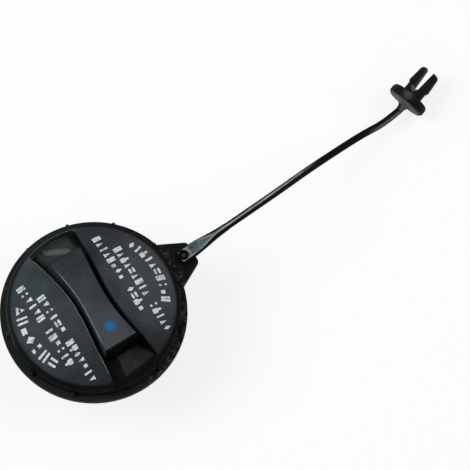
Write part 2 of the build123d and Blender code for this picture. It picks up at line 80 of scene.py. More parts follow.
class Wire:
    # a shader socket that stands in sums like a number
    def __init__(self, paint, socket):
        self.paint = paint
        self.socket = socket

    def maths(self, operation, *values):
        return self.paint.node("ShaderNodeMath", {"operation": operation}, values)

    def __add__(self, other):
        return self.maths("ADD", self, other)

    def __radd__(self, other):
        return self.maths("ADD", other, self)

    def __sub__(self, other):
        return self.maths("SUBTRACT", self, other)

    def __rsub__(self, other):
        return self.maths("SUBTRACT", other, self)

    def __mul__(self, other):
        return self.maths("MULTIPLY", self, other)

    def __rmul__(self, other):
        return self.maths("MULTIPLY", other, self)

    def __pow__(self, other):
        return self.maths("POWER", self, other)

    def __neg__(self):
        return self.maths("MULTIPLY", self, -1.0)

    def size(self):
        return self.maths("ABSOLUTE", self)

    def root(self):
        return self.maths("SQRT", self)

    def larger(self, other):
        return self.maths("MAXIMUM", self, other)

    def fade(self, low, high):
        # 0 at low and 1 at high, smooth between, and low may be the larger
        kind = {"interpolation_type": "SMOOTHSTEP", "clamp": True}
        return self.paint.node("ShaderNodeMapRange", kind, {0: self, 1: low, 2: high, 3: 0.0, 4: 1.0})


class Paint:
    # one material, with the place in millimetres as x, y and z, and the way that the surface faces
    def __init__(self, name):
        self.material = bpy.data.materials.new(name)
        self.material.use_nodes = True
        self.nodes = self.material.node_tree.nodes
        self.links = self.material.node_tree.links
        self.shader = self.nodes["Principled BSDF"]
        metres = self.node("ShaderNodeTexCoord", output="Object")
        self.place = self.scaled(metres, 1 / mm)
        self.x, self.y, self.z = self.parts(self.place)
        self.facing = Wire(self, metres.socket.node.outputs["Normal"])
        self.faceX, self.faceY, self.up = self.parts(self.facing)

    def node(self, kind, settings=None, sockets=(), output=0):
        # settings are set first, then the values or links of its sockets
        made = self.nodes.new(kind)
        for name, value in (settings or {}).items():
            setattr(made, name, value)
        for key, value in sockets.items() if isinstance(sockets, dict) else enumerate(sockets):
            self.plug(made.inputs[key], value)
        return Wire(self, made.outputs[output])

    def plug(self, socket, value):
        if isinstance(value, Wire):
            self.links.new(value.socket, socket)
        elif isinstance(value, tuple) and socket.type == "RGBA":
            socket.default_value = (*value, 1.0)
        else:
            socket.default_value = value

    def vector(self, operation, *sockets, output="Vector"):
        return self.node("ShaderNodeVectorMath", {"operation": operation}, sockets, output)

    def parts(self, vector):
        # the three numbers of a vector
        split = self.node("ShaderNodeSeparateXYZ", None, {0: vector}).socket.node
        return [Wire(self, output) for output in split.outputs]

    def scaled(self, colour, share):
        return self.node("ShaderNodeVectorMath", {"operation": "SCALE"}, {0: colour, "Scale": share})

    def surface(self, **sockets):
        # sockets of the shader itself, with _ for a space
        for name, value in sockets.items():
            self.plug(self.shader.inputs[name.replace("_", " ")], value)

    def noise(self, size, detail=2.0, stretch=(1, 1, 1), rough=0.5, shift=0.0):
        # size is the width of a blotch in millimetres
        scale = tuple(axis / size for axis in stretch)
        spot = self.vector("MULTIPLY_ADD", self.place, scale, (shift, shift, shift))
        sockets = {"Vector": spot, "Scale": 1.0, "Detail": detail, "Roughness": rough}
        return self.node("ShaderNodeTexNoise", None, sockets)

    def mix(self, share, first, second):
        return self.node("ShaderNodeMix", {"data_type": "RGBA"}, {0: share, 6: first, 7: second}, 2)

    def blend(self, share, tones):
        # between two tones, each a colour as seen on a screen
        return self.mix(share, *[shade(tone) for tone in tones])

    def coat(self, colour, share, tone):
        # one tone laid over a colour where share is 1
        return self.mix(share, colour, shade(tone))

    def slope(self, alongX, alongY, start, full):
        # from 0 to 1 across the plan, measured along these shares of x and y
        return (self.x * alongX + self.y * alongY).fade(start, full)

    def patch(self, edges):
        # 1 inside some straight edges, each of them a slope
        inside = self.slope(*edges[0])
        for edge in edges[1:]:
            inside = inside * self.slope(*edge)
        return inside

    def bump(self, height, depth):
        # depth in millimetres for a height of 1
        return self.node("ShaderNodeBump", None, {"Strength": 1.0, "Distance": depth * mm, "Height": height})


def span(first, *others):
    # length of a line from the sockets that hold its parts
    total = first * first
    for part in others:
        total = total + part * part
    return total.root()


def shade(tone):
    # red, green and blue as seen on a screen, 0 to 255, in the shader's own scale
    return tuple(((v / 255 + 0.055) / 1.055) ** 2.4 if v > 10 else v / 255 / 12.92 for v in tone)


def shades(tone, *shares):
    # darker and lighter versions of one tone
    return [shade([share * v for v in tone]) for share in shares]


def skin(bm, rings):
    # side faces from ring to ring and both ends, giving back the faces along each ring's last side
    closing = []
    for low, high in zip(rings, rings[1:]):
        for i in range(len(low)):
            j = (i + 1) % len(low)
            face = bm.faces.new((low[i], low[j], high[j], high[i]))
            if j == 0:
                closing.append(face)
    bm.faces.new(rings[0][::-1])
    bm.faces.new(rings[-1])
    return closing


def addMesh(name, material, body, build, smooth=True):
    # build fills a bmesh in millimetres
    bm = bmesh.new()
    build(bm)
    bmesh.ops.recalc_face_normals(bm, faces=bm.faces)
    bmesh.ops.scale(bm, vec=(mm, mm, mm), verts=bm.verts)
    mesh = bpy.data.meshes.new(name)
    bm.to_mesh(mesh)
    bm.free()
    mesh.polygons.foreach_set("use_smooth", [smooth] * len(mesh.polygons))
    piece = bpy.data.objects.new(name, mesh)
    piece.data.materials.append(material)
    bpy.context.scene.collection.objects.link(piece)
    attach(piece, body)
    return piece


def dress(node, material):
    # a CAD node keeps its mesh and gets a new finish
    slots = cadNodes[node].data.materials
    slots.clear()
    slots.append(material)


# Floor and light, in metres, watts and degrees
stageLook = {
    "floorSize": 6.0,
    "floorLevel": -0.0002,
    "floorTone": (226, 226, 226),
    "whiteShare": 0.8,        # of the floor's colour that the camera sees as plain white
    "worldStrength": 0.3,
    "lampDistance": 1.8,
    "lamps": {
        "keyLamp": {"azimuth": -120, "elevation": 52, "power": 27, "size": 1.2},
        "fillLamp": {"azimuth": 62, "elevation": 48, "power": 16, "size": 1.4},
    },
}


def floorPaint():
    paint = Paint("floorPaint")
    cloud = paint.noise(400.0, 3.0)
    tone = shade(stageLook["floorTone"])
    colour = paint.mix(cloud, tone, tuple(0.97 * v for v in tone))
    paint.surface(Base_Color=colour, Roughness=0.9, Specular_IOR_Level=0.1)
    # the camera, and what glosses, see it mostly as plain white
    rays = ("Is Camera Ray", "Is Glossy Ray", "Is Transmission Ray")
    camera, glossy, through = [paint.node("ShaderNodeLightPath", output=ray) for ray in rays]
    share = (camera + glossy + through) * stageLook["whiteShare"]
    white = paint.node("ShaderNodeEmission", None, {"Color": (1.0, 1.0, 1.0), "Strength": 1.0})
    plain = Wire(paint, paint.shader.outputs[0])
    seen = paint.node("ShaderNodeMixShader", None, (share, plain, white))
    paint.plug(paint.nodes["Material Output"].inputs["Surface"], seen)
    return paint.material


def addFloor():
    half = stageLook["floorSize"] / 2
    corners = [(-half, -half), (half, -half), (half, half), (-half, half)]
    mesh = bpy.data.meshes.new("floor")
    mesh.from_pydata([(x, y, stageLook["floorLevel"]) for x, y in corners], [], [(0, 1, 2, 3)])
    mesh.materials.append(floorPaint())
    floor = bpy.data.objects.new("floor", mesh)
    bpy.context.scene.collection.objects.link(floor)


def addLamp(name, look):
    data = bpy.data.lights.new(name, "AREA")
    data.energy = look["power"]
    data.shape = "DISK"
    data.size = look["size"]
    lamp = bpy.data.objects.new(name, data)
    away = direction(look["azimuth"], look["elevation"])
    lamp.location = Vector(view["target"]) * mm + away * stageLook["lampDistance"]
    lamp.rotation_euler = away.to_track_quat("Z", "Y").to_euler()
    bpy.context.scene.collection.objects.link(lamp)


def addWorld():
    world = bpy.data.worlds.new("world")
    world.use_nodes = True
    background = world.node_tree.nodes["Background"]
    background.inputs["Color"].default_value = (1.0, 1.0, 1.0, 1.0)
    background.inputs["Strength"].default_value = stageLook["worldStrength"]
    bpy.context.scene.world = world
    bpy.context.scene.view_settings.view_transform = "Standard"


addCamera()
addFloor()
addWorld()
for name, look in stageLook["lamps"].items():
    addLamp(name, look)
print("stage set")


# The grip: black polypropylene with a fine spark-eroded grain
grip = {
    # mm
    "domeCentre": -20.64,     # height of the middle of the dome's sphere
    "domeRadius": 72.0,
    "barTop": 53.5,
    "barHalf": 22.0,          # half the bar's length
    "rimRadius": 33.8,        # inner face of the rim across the channel's ends
    "floorLevel": 38.0,
    "dotPlace": (-0.25, -13.8),
    "dotRadii": (3.1, 0.6),   # where the dab dies out and where it is full
    "highlightPlace": 29.0,       # of the painted highlight on the far pocket's floor, from the middle, on the bar's line
    "highlightHalf": (1.9, 0.5),
    "lipEnds": (11.8, 10.4),  # on either side of the bar's line
    "cloudSize": 7.0,
    "mottleSize": 0.9,
    "grainSize": 0.34,
    "grainDepth": 0.03,
    # tones as seen on a screen
    "segmentTones": [(44, 51, 54), (48, 51, 55)],  # left and right
    "segmentShares": (0.6, 1.45),                  # in painted shade and in painted light
    "barTone": (48, 52, 55),
    # painted shade and painted light of the bar
    "barShares": (0.76, 1.2),
    "skirtTones": [(33, 42, 38), (4, 6, 5)],       # in light and in shade
    "seamShadeTone": (5, 6, 6),                         # painted shade where the dome turns down to the skirt
    # painted shade in the channel and on the bar's far edge
    "paintedShadeTone": (5, 6, 6),
    "litWallTones": [(38, 52, 53), (64, 62, 68)],     # painted light on the walls that face -X, left and right groove
    "litDeepTone": (92, 112, 112),                    # painted light on those walls far down
    "lipShadeAndLightTones": [(2, 2, 2), (56, 68, 64)],         # painted shade on the rim across the channel's near end, painted light at its far end
    # painted light on the near pocket's floor
    "floorTone": (38, 38, 41),
    # painted light on the far pocket's floor and walls
    "farLightTone": (46, 53, 52),
    "farWallLightTone": (91, 107, 101),
    # painted highlight on the far pocket's floor
    "highlightTone": (84, 88, 88),
    # painted highlight on the edges of the left groove
    "edgeHighlightTone": (116, 122, 126),
    "dustTone": (122, 122, 116),
    "dotTone": (0, 92, 146),
    # edges of patches in plan: shares of x and y, where the patch starts and where it is full
    # painted shade in a patch on the right segment and towards the near end
    "shadePatch": [(1, 0, 2.0, 6.0), (1, 0, 18.0, 11.0), (0, 1, 4.0, 9.0), (0, 1, 24.0, 18.0)],
    "shadeEnd": [(0, -1, 17.0, 28.0)],
    "shadedSides": [(-0.533, -0.846, 10.0, 22.0), (0.846, -0.533, -25.0, 22.0)],
    # painted light on the near pocket's floor
    "nearFloorLight": [(0, -1, 22.2, 23.0), (0.114, -1, 31.9, 30.7), (1, -0.147, 0.1, 1.2), (1, 0.53, -4.7, -5.8)],
    # painted light in the far pocket
    "farPocketLight": [(0, 1, 22.2, 23.2), (1, 0.3, -0.6, 2.6), (1, 0.1, 11.6, 9.6)],
    # ends of the painted highlight on the far pocket's floor
    "highlightEnds": [(1, 0, -5.4, -3.6), (1, 0, 6.4, 4.4)],
    # where the painted highlights lie on the segment's and the bar's edges
    "segmentHighlight": [(0, 1, 29.5, 27.5), (0, -1, 29.5, 27.5), (1, 0, -1.0, -3.0)],
    "barHighlight": [(0, 1, 20.0, 13.0), (0, 1, -20.0, -15.0), (1, 0, -1.0, -3.0)],
}


def topFaces(paint, cloud):
    # clouded segments in painted light and shade, and a bar with painted light towards its left and its near
    # end
    x, y, z = paint.x, paint.y, paint.z
    wearAndSheen = (cloud - 0.5) * 1.6 + 0.5
    side = paint.blend(x.fade(-2.0, 2.0), grip["segmentTones"])
    # painted light on the right segment towards +X, and painted shade on it away from y = -5
    paler = wearAndSheen + x.fade(6.0, 22.0) * 0.7 - ((y + 5.0) * 0.04) ** 2.0 * x.fade(-4.0, 4.0) - 0.1
    segment = [paint.scaled(side, share) for share in grip["segmentShares"]]
    segment = paint.mix(paler.fade(-0.4, 1.4), *segment)
    # painted shade in two patches, and painted light growing towards +Y
    paintedShade = paint.patch(grip["shadePatch"]) * 0.14 + paint.patch(grip["shadeEnd"]) * 0.2
    segment = paint.scaled(segment, 1.0 + y * 0.0073 - paintedShade)
    # painted light on the bar towards -X and towards -Y
    leaning = wearAndSheen - x * 0.05 - y * 0.034
    bar = paint.mix(leaning.fade(-0.6, 1.6), *shades(grip["barTone"], *grip["barShares"]))
    return paint.mix(z.fade(grip["barTop"] - 0.8, grip["barTop"] - 0.1), segment, bar)


def channel(paint, colour, rise, inside):
    # painted shade darkens the channel with depth and on its walls, apart from the walls that face -X, which
    # get painted light
    x, y, half = paint.x, paint.y, grip["barHalf"]
    deep = rise.fade(-0.3, -1.5) * inside
    wall = paint.up.fade(0.75, 0.3) * inside
    litWallColour = paint.blend(x.fade(-2.0, 2.0), grip["litWallTones"])
    litWallColour = paint.coat(litWallColour, rise.fade(-2.0, -9.0), grip["litDeepTone"])
    reach = y.size() + x.fade(0.0, 2.0) * 3.0
    lit = (-paint.faceX).fade(0.4, 0.8) * reach.fade(half + 3.5, half + 0.5)
    dark = paint.mix(lit, shade(grip["paintedShadeTone"]), litWallColour)
    return paint.mix(deep.larger(wall), colour, dark)


def pocketFloors(paint, colour, radius):
    # the finger pockets at the bar's two ends: the near one's floor has painted light in the middle
    level, rim = grip["floorLevel"], grip["rimRadius"]
    flat = paint.z.fade(level + 0.7, level + 0.1) * paint.up.fade(0.7, 0.95)
    cloud = paint.noise(2.6, 3.0, shift=11.0)
    floor = paint.mix(cloud.fade(0.3, 0.7), *shades(grip["floorTone"], 0.8, 1.15))
    # painted light on the near pocket's floor
    colour = paint.mix(flat * paint.patch(grip["nearFloorLight"]), colour, floor)
    # painted light greys the far one up to the rim, with a painted highlight behind the bar
    grey = paint.patch(grip["farPocketLight"]) * radius.fade(rim + 0.6, rim - 0.2)
    far = paint.blend(paint.up.fade(0.8, 0.3), [grip["farLightTone"], grip["farWallLightTone"]])
    colour = paint.mix(grey * (0.75 + 0.25 * cloud), colour, far)
    ragged = (paint.noise(2.2, 3.0, shift=7.0) - 0.5) * 2.4
    fromLine = (paint.y + paint.x * 0.5 + ragged - grip["highlightPlace"]).size()
    # painted highlight on the far pocket's floor
    farHighlight = flat * fromLine.fade(*grip["highlightHalf"]) * paint.patch(grip["highlightEnds"])
    return paint.coat(colour, farHighlight * 0.8, grip["highlightTone"])


def rimAndSkirt(paint, colour, radius):
    # painted shade and light on the rim across the channel's ends, the skirt in painted light and shade, and
    # a band of painted shade above it
    rim = grip["rimRadius"]
    # painted shade on the near rim, painted light on the far rim
    lip = paint.blend(paint.y.fade(-2.0, 2.0), grip["lipShadeAndLightTones"])
    onLip = radius.fade(rim - 0.9, rim - 0.1) * paint.x.size().fade(*grip["lipEnds"])
    colour = paint.mix(onLip, colour, lip)
    near, right = [paint.slope(*edge) for edge in grip["shadedSides"]]
    skirt = paint.blend(near.larger(right), grip["skirtTones"])
    colour = paint.mix(radius.fade(rim + 0.4, rim + 1.4), colour, skirt)
    # painted shade where the dome turns down to the skirt
    seamShade = radius.fade(rim, rim + 0.8) * radius.fade(rim + 2.2, rim + 1.4) * paint.up.fade(0.2, 0.5)
    return paint.coat(colour, seamShade * 0.75, grip["seamShadeTone"])


def edgeShadeAndHighlights(paint, colour, rise, inside):
    # painted shade on the bar's far edge, and painted highlights on the two edges of the left groove
    z, faceX, up = paint.z, paint.faceX, paint.up
    top, half = grip["barTop"], grip["barHalf"]
    # painted shade on the bar's far edge
    farEdgeShade = z.fade(top - 0.8, top - 0.3) * paint.y.fade(half - 0.9, half - 0.1) * inside
    colour = paint.coat(colour, farEdgeShade, grip["paintedShadeTone"])
    centre = paint.vector("SUBTRACT", paint.place, (0.0, 0.0, grip["domeCentre"]))
    outward = paint.vector("NORMALIZE", centre)
    rounded = paint.vector("DOT_PRODUCT", paint.facing, outward, output="Value").fade(0.985, 0.94)
    # painted highlights on the left groove's edges
    onSegment = rounded * rise.fade(-0.4, -0.22) * faceX.fade(0.1, 0.3) * paint.patch(grip["segmentHighlight"])
    onBar = z.fade(top - 0.55, top - 0.35) * up.fade(0.93, 0.8) * faceX.fade(-0.1, -0.3)
    onBar = onBar * paint.patch(grip["barHighlight"])
    patchy = paint.noise(3.0, 2.0, shift=8.0).fade(0.2, 0.55) * 0.5 + 0.4
    edgeHighlight = (onSegment + onBar) * inside * up.fade(0.15, 0.35) * patchy
    return paint.coat(colour, edgeHighlight, grip["edgeHighlightTone"])


def blueDab(paint):
    # a dab of blue paint on the bar
    x, y = grip["dotPlace"]
    ragged = (paint.noise(1.4, 2.0, shift=2.0) - 0.5) * 0.7
    dab = (span(paint.x - x, paint.y - y) + ragged).fade(*grip["dotRadii"])
    return dab * paint.z.fade(grip["barTop"] - 1.0, grip["barTop"] - 0.4)


def gripPaint():
    paint = Paint("gripPlastic")
    rim = grip["rimRadius"]
    radius = span(paint.x, paint.y)
    inside = radius.fade(rim + 0.8, rim - 0.2)
    rise = span(paint.x, paint.y, paint.z - grip["domeCentre"]) - grip["domeRadius"]  # above the dome
    cloud = paint.noise(grip["cloudSize"], 4.0)
    colour = topFaces(paint, cloud)
    colour = channel(paint, colour, rise, inside)
    colour = pocketFloors(paint, colour, radius)
    colour = rimAndSkirt(paint, colour, radius)
    colour = edgeShadeAndHighlights(paint, colour, rise, inside)
    # dust caught on the skirt and the rim, and fine mottling all over
    speck = paint.noise(0.75, 4.0, rough=0.7, shift=5.0).fade(0.66, 0.76) * radius.fade(rim + 0.7, rim + 1.7)
    colour = paint.coat(colour, speck * 0.5, grip["dustTone"])
    colour = paint.scaled(colour, 0.7 + 0.6 * paint.noise(grip["mottleSize"], 2.0, shift=13.0))
    dab = blueDab(paint)
    colour = paint.coat(colour, dab, grip["dotTone"])
    paint.surface(Base_Color=colour, Specular_IOR_Level=0.09)
    paint.surface(Roughness=0.5 + 0.14 * cloud - 0.12 * dab + 0.3 * radius.fade(rim - 0.9, rim - 0.1))
    grain = paint.noise(grip["grainSize"], 3.0, rough=0.6)
    paint.surface(Normal=paint.bump(grain * (1.0 - 0.7 * dab) + 0.5 * dab, grip["grainDepth"]))
    return paint.material


dress("grip_shell", gripPaint())
print("grip painted")


# White printing on the two segments, in plain marks like those of a scale
printing = {
    "tone": (184, 191, 195),
    "stroke": 1.0,            # mm, as are the other lengths
    "gap": 0.15,              # before a mark, beyond the stroke's own width
    "proud": 0.035,
    "sunk": 0.05,
    "step": 1.1,              # longest piece of a stroke, so that it follows the dome
    "roundTurns": (80, 50, 20),   # degrees, the points of a stroke's round end
    "seed": 7,
    # a row bends round the middle at a radius, or runs straight at an x, on the left (-1) or the right
    "rows": [
        {"side": -1, "radius": 30.0, "from": 15.6, "to": -14.4, "marks": 7, "height": 4.7},
        {"side": -1, "x": 21.9, "from": 23.1, "to": 4.0, "marks": 6, "height": 3.7},
        {"side": -1, "x": 21.9, "from": 0.6, "to": -17.8, "marks": 6, "height": 3.7},
        {"side": -1, "x": 17.3, "from": 14.3, "to": -5.2, "marks": 6, "height": 3.7},
        {"side": -1, "x": 17.3, "from": -8.4, "to": -28.1, "marks": 7, "height": 3.7},
        {"side": 1, "radius": 30.0, "from": 14.6, "to": -15.4, "marks": 10, "height": 4.0},
        {"side": 1, "x": 20.7, "from": 15.6, "to": -9.6, "marks": 9, "height": 3.9},
        {"side": 1, "x": 20.7, "from": -12.6, "to": -25.8, "marks": 5, "height": 3.9},
        {"side": 1, "x": 15.85, "from": 24.3, "to": 1.2, "marks": 8, "height": 3.9},
        {"side": 1, "x": 15.85, "from": -2.4, "to": -14.3, "marks": 4, "height": 3.9},
    ],
}

# each mark is strokes from end to end, or filled plates, in a cell from about (0, -0.5) to (1, 0.5)
markShapes = {
    "bar": {"plates": [[(0.26, -0.6), (0.74, -0.6), (0.74, 0.6), (0.26, 0.6)]]},
    "twoTicks": {"strokes": [((0.2, -0.5), (0.2, 0.5)), ((0.8, -0.5), (0.8, 0.5))]},
    "shortTicks": {
        "strokes": [((0.15, -0.5), (0.15, -0.05)), ((0.5, -0.5), (0.5, 0.5)), ((0.85, -0.5), (0.85, -0.05))],
    },
    "dots": {"strokes": [((0.5, -0.4), (0.5, -0.38)), ((0.5, 0.38), (0.5, 0.4))]},
    "block": {"plates": [[(0.1, -0.5), (0.9, -0.5), (0.9, 0.1), (0.1, 0.1)]]},
    "wedge": {"plates": [[(0.0, -0.55), (1.0, -0.55), (0.5, 0.45)]]},
    "lozenge": {"plates": [[(0.5, -0.55), (1.0, 0.0), (0.5, 0.55), (0.0, 0.0)]]},
    "dashes": {"strokes": [((0.1, -0.28), (0.9, -0.28)), ((0.1, 0.28), (0.9, 0.28))]},
}


def domeHeight(x, y):
    return grip["domeCentre"] + math.sqrt(grip["domeRadius"] ** 2 - x * x - y * y)


def rowPlace(row, along, across):
    # plan place of a point so far along a row and so far across it
    if "radius" in row:
        angle = math.asin(row["from"] / row["radius"]) - along / row["radius"]
        reach = row["radius"] + across * row["side"]
        return row["side"] * reach * math.cos(angle), reach * math.sin(angle)
    return row["side"] * (row["x"] + across), row["from"] - along


def rowLength(row):
    if "radius" in row:
        angles = [math.asin(row[end] / row["radius"]) for end in ("from", "to")]
        return row["radius"] * (angles[0] - angles[1])
    return row["from"] - row["to"]


def liftedRing(bm, row, places, lifts):
    # vertices lifted above the dome, from places along and across a row
    ring = []
    for (along, across), lift in zip(places, lifts):
        x, y = rowPlace(row, along, across)
        ring.append(bm.verts.new((x, y, domeHeight(x, y) + lift)))
    return ring


def strokeOutline(first, last, half):
    # both sides and round ends of a stroke, as pairs from its start to its end
    run = last - first
    way = run.normalized() if run.length > 0.01 else Vector((1, 0))
    side = Vector((-way.y, way.x))
    turns = [math.radians(turn) for turn in printing["roundTurns"]]
    steps = max(1, math.ceil(run.length / printing["step"]))
    pairs = [(first - way * half * math.sin(turn), half * math.cos(turn)) for turn in turns]
    pairs += [(first + run * i / steps, half) for i in range(steps + 1)]
    pairs += [(last + way * half * math.sin(turn), half * math.cos(turn)) for turn in reversed(turns)]
    return [(place + side * reach, place - side * reach) for place, reach in pairs]


def addStroke(bm, row, first, last):
    proud, sunk = printing["proud"], -printing["sunk"]
    pairs = strokeOutline(Vector(first), Vector(last), printing["stroke"] / 2)
    skin(bm, [liftedRing(bm, row, (a, b, b, a), (proud, proud, sunk, sunk)) for a, b in pairs])


def addPlate(bm, row, corners):
    levels = (-printing["sunk"], printing["proud"])
    skin(bm, [liftedRing(bm, row, corners, [level] * len(corners)) for level in levels])


def printRow(bm, row, chance):
    pitch = rowLength(row) / row["marks"]
    cell = pitch - printing["stroke"] - printing["gap"]
    size = row["height"] - printing["stroke"]
    last = None
    for i in range(row["marks"]):
        last = chance.choice([name for name in markShapes if name != last])
        start = pitch * i + printing["stroke"] / 2 + printing["gap"]
        for ends in markShapes[last].get("strokes", []):
            addStroke(bm, row, *[(start + cell * u, size * v) for u, v in ends])
        for corners in markShapes[last].get("plates", []):
            addPlate(bm, row, [(start + cell * u, size * v) for u, v in corners])


def printPaint():
    paint = Paint("whitePrint")
    wearAndSheen = paint.noise(1.3, 3.0, shift=4.0).fade(0.36, 0.5)
    colour = paint.mix(wearAndSheen, *shades(printing["tone"], 0.72, 1.0))
    paint.surface(Base_Color=colour, Roughness=0.55 + 0.1 * wearAndSheen, Specular_IOR_Level=0.3)
    paint.surface(Normal=paint.bump(paint.noise(0.3, 2.0), 0.01))
    return paint.material


def printSide(bm, side, chance):
    for row in printing["rows"]:
        if row["side"] == side:
            printRow(bm, row, chance)


def addPrinting():
    chance = random.Random(printing["seed"])
    white = printPaint()
    for side, name in ((-1, "leftPrinting"), (1, "rightPrinting")):
        piece = addMesh(name, white, "grip", lambda bm: printSide(bm, side, chance), smooth=False)


addPrinting()
print("segments printed")


# The tether's ring with its lug and pin
ringLook = {
    "tone": (15, 17, 15),
    "litSideTone": (29, 34, 30),  # painted light on the side away from the lug
    "dustTone": (100, 97, 90),
    # painted shade on the pin and round it
    "pinShadeTone": (1, 1, 1),
    "spotTone": (62, 66, 66),
    "pinPlace": 44.0,           # mm along +X
    "pinEdge": (2.6, 2.3),      # mm from its middle, where its painted shade starts and where it is full
    "pinTop": (35.8, 36.4),     # height
    "spotEdge": (1.1, 0.4),     # of the pale spot in the pin's dimple
    "lugStarts": (38.0, 43.0),  # mm along +X, where the ring darkens to the lug's tone
}


def ringPaint():
    paint = Paint("ringPlastic")
    x, y = paint.x, paint.y
    cloud = paint.noise(8.0, 3.0, shift=1.0)
    colour = paint.mix(cloud.fade(0.3, 0.7), *shades(ringLook["tone"], 0.8, 1.2))
    # painted light on the side away from the lug
    colour = paint.coat(colour, x.fade(22.0, -8.0) * (0.5 + 0.5 * cloud), ringLook["litSideTone"])
    # dust in blotches on the side by the lug, and in specks all round
    near = (x - y * 0.6).fade(16.0, 34.0) * span(x, y).fade(41.5, 39.0)
    blotch = paint.noise(1.5, 4.0, rough=0.7, shift=9.0).fade(0.46, 0.7) * near
    speck = paint.noise(0.7, 4.0, rough=0.7, shift=9.0).fade(0.68, 0.78)
    colour = paint.coat(colour, (speck * 0.45).larger(blotch * 0.6), ringLook["dustTone"])
    colour = paint.scaled(colour, 1.0 - 0.4 * x.fade(*ringLook["lugStarts"]))
    fromPin = span(x - ringLook["pinPlace"], y)
    # painted shade on the pin and round it
    onPin = fromPin.fade(*ringLook["pinEdge"]) * paint.z.fade(*ringLook["pinTop"])
    colour = paint.coat(colour, onPin, ringLook["pinShadeTone"])
    spot = onPin * fromPin.fade(*ringLook["spotEdge"]) * paint.noise(0.9, 2.0, shift=3.0).fade(0.3, 0.5)
    colour = paint.coat(colour, spot * 0.7, ringLook["spotTone"])
    paint.surface(Base_Color=colour, Roughness=0.52 + 0.14 * cloud, Specular_IOR_Level=0.06)
    paint.surface(Normal=paint.bump(paint.noise(0.4, 3.0, rough=0.6), 0.03))
    return paint.material


dress("tether_ring", ringPaint())


# The paddle at the strap's near end, with painted light on its face
paddle = {
    "angle": 3.5,             # degrees from +X
    "faceHalf": 2.5,          # half width of the grey face by the pin
    "lineHalf": 0.5,          # and where it runs out into the strap's line
    "middle": 0.1,            # mm, how far the face lies to the left of its line
    "narrows": (5.0, 18.0),   # mm from the pin
    "litFaceTones": [(42, 57, 62), (94, 106, 108)],  # painted light: dark in the middle, pale towards the strap and one side
    "haloHighlightTone": (112, 124, 125),                  # painted highlight round the pin
    "haloEdge": (4.2, 3.0),
    # painted highlight along the face's edge
    "rimHighlightTone": (132, 137, 136),
    "sideTone": (4, 6, 6),
}


def paddlePaint():
    paint = Paint("paddlePlastic")
    c, s = math.cos(math.radians(paddle["angle"])), math.sin(math.radians(paddle["angle"]))
    reach = paint.x - ringLook["pinPlace"]
    along = reach * c + paint.y * s
    sideways = paint.y * c - reach * s - paddle["middle"]
    half = paddle["faceHalf"] - (paddle["faceHalf"] - paddle["lineHalf"]) * along.fade(*paddle["narrows"])
    toEdge = half - sideways.size()
    blotch = paint.noise(2.2, 3.0, stretch=(0.6, 1.2, 1.0), shift=6.0)
    fine = paint.noise(0.55, 3.0, stretch=(0.5, 1.2, 1.0), shift=2.0)
    mottled = blotch.fade(0.3, 0.7) * 0.6 + fine.fade(0.3, 0.7) * 0.4
    # painted light over the face, with painted highlights round the pin and along its edge
    paler = along.fade(4.5, 10.5) * 0.5 + sideways.fade(0.9, -1.9) * 0.4 + (mottled - 0.5) * 0.6 + 0.05
    face = paint.blend(paler.fade(0.0, 1.0), paddle["litFaceTones"])
    halo = span(reach, paint.y).fade(*paddle["haloEdge"]) * (along - sideways).fade(-1.5, 1.0)
    face = paint.coat(face, halo * (0.5 + 0.5 * mottled), paddle["haloHighlightTone"])
    rim = toEdge.fade(0.8, 0.3) * (0.4 + 0.6 * blotch.fade(0.3, 0.6))
    face = paint.coat(face, rim, paddle["rimHighlightTone"])
    onFace = toEdge.fade(-0.05, 0.2) * paint.up.fade(0.75, 0.95)
    colour = paint.mix(onFace, shade(paddle["sideTone"]), face)
    paint.surface(Base_Color=colour, Roughness=0.42 + 0.16 * blotch, Specular_IOR_Level=0.08)
    paint.surface(Normal=paint.bump(fine, 0.05))
    return paint.material


dress("tether_eyelet", paddlePaint())
print("ring and paddle painted")


# The tether's strap, a free cord from the paddle to the clip
strap = {
    "diameter": 0.0031,            # metres
    "length": 0.1005,
    "route": [
        (65.959, 1.343, 35.5), (77.937, 2.076, 35.5), (94.0, 4.3, 30.5), (112.0, 8.1, 20.9),
        (130.0, 10.9, 12.6), (141.3, 12.1, 8.6), (151.62, 11.881, 7.014), (159.951, 13.098, 8.182),
    ],                             # mm, the same as the solid's
    "resolution": 12,              # steps from point to point
    # half section from its flat top round to the bottom, mm sideways and up
    "section": [
        (0.38, 1.38), (0.95, 1.16), (1.38, 0.56), (1.55, -0.1), (1.41, -0.7), (1.04, -1.15), (0.52, -1.38),
    ],
    "twist": -38.0,                # degrees, by the far end
    "tone": (6, 7, 7),
    # painted highlight along the flat top
    "highlightLineTone": (138, 146, 146),
    "highlightLineEnds": (118.0, 96.0),     # mm along +X, where the painted highlight line dies out
    "nearClipLightTone": (92, 94, 91),
    "nearClipLightStarts": (141.0, 151.0),  # and where painted light greys its near side towards the clip
}


def routeLine():
    data = bpy.data.curves.new("strapRoute", "CURVE")
    data.dimensions = "3D"
    data.resolution_u = strap["resolution"]
    spline = data.splines.new("NURBS")
    spline.points.add(len(strap["route"]) - 1)
    for point, place in zip(spline.points, strap["route"]):
        point.co = (*(mm * v for v in place), 1.0)
    spline.order_u = 3
    spline.use_endpoint_u = True
    holder = bpy.data.objects.new("strapRoute", data)
    bpy.context.scene.collection.objects.link(holder)
    line = bpy.data.meshes.new_from_object(holder)
    points = [vertex.co.copy() for vertex in line.vertices]
    bpy.data.objects.remove(holder)
    return points


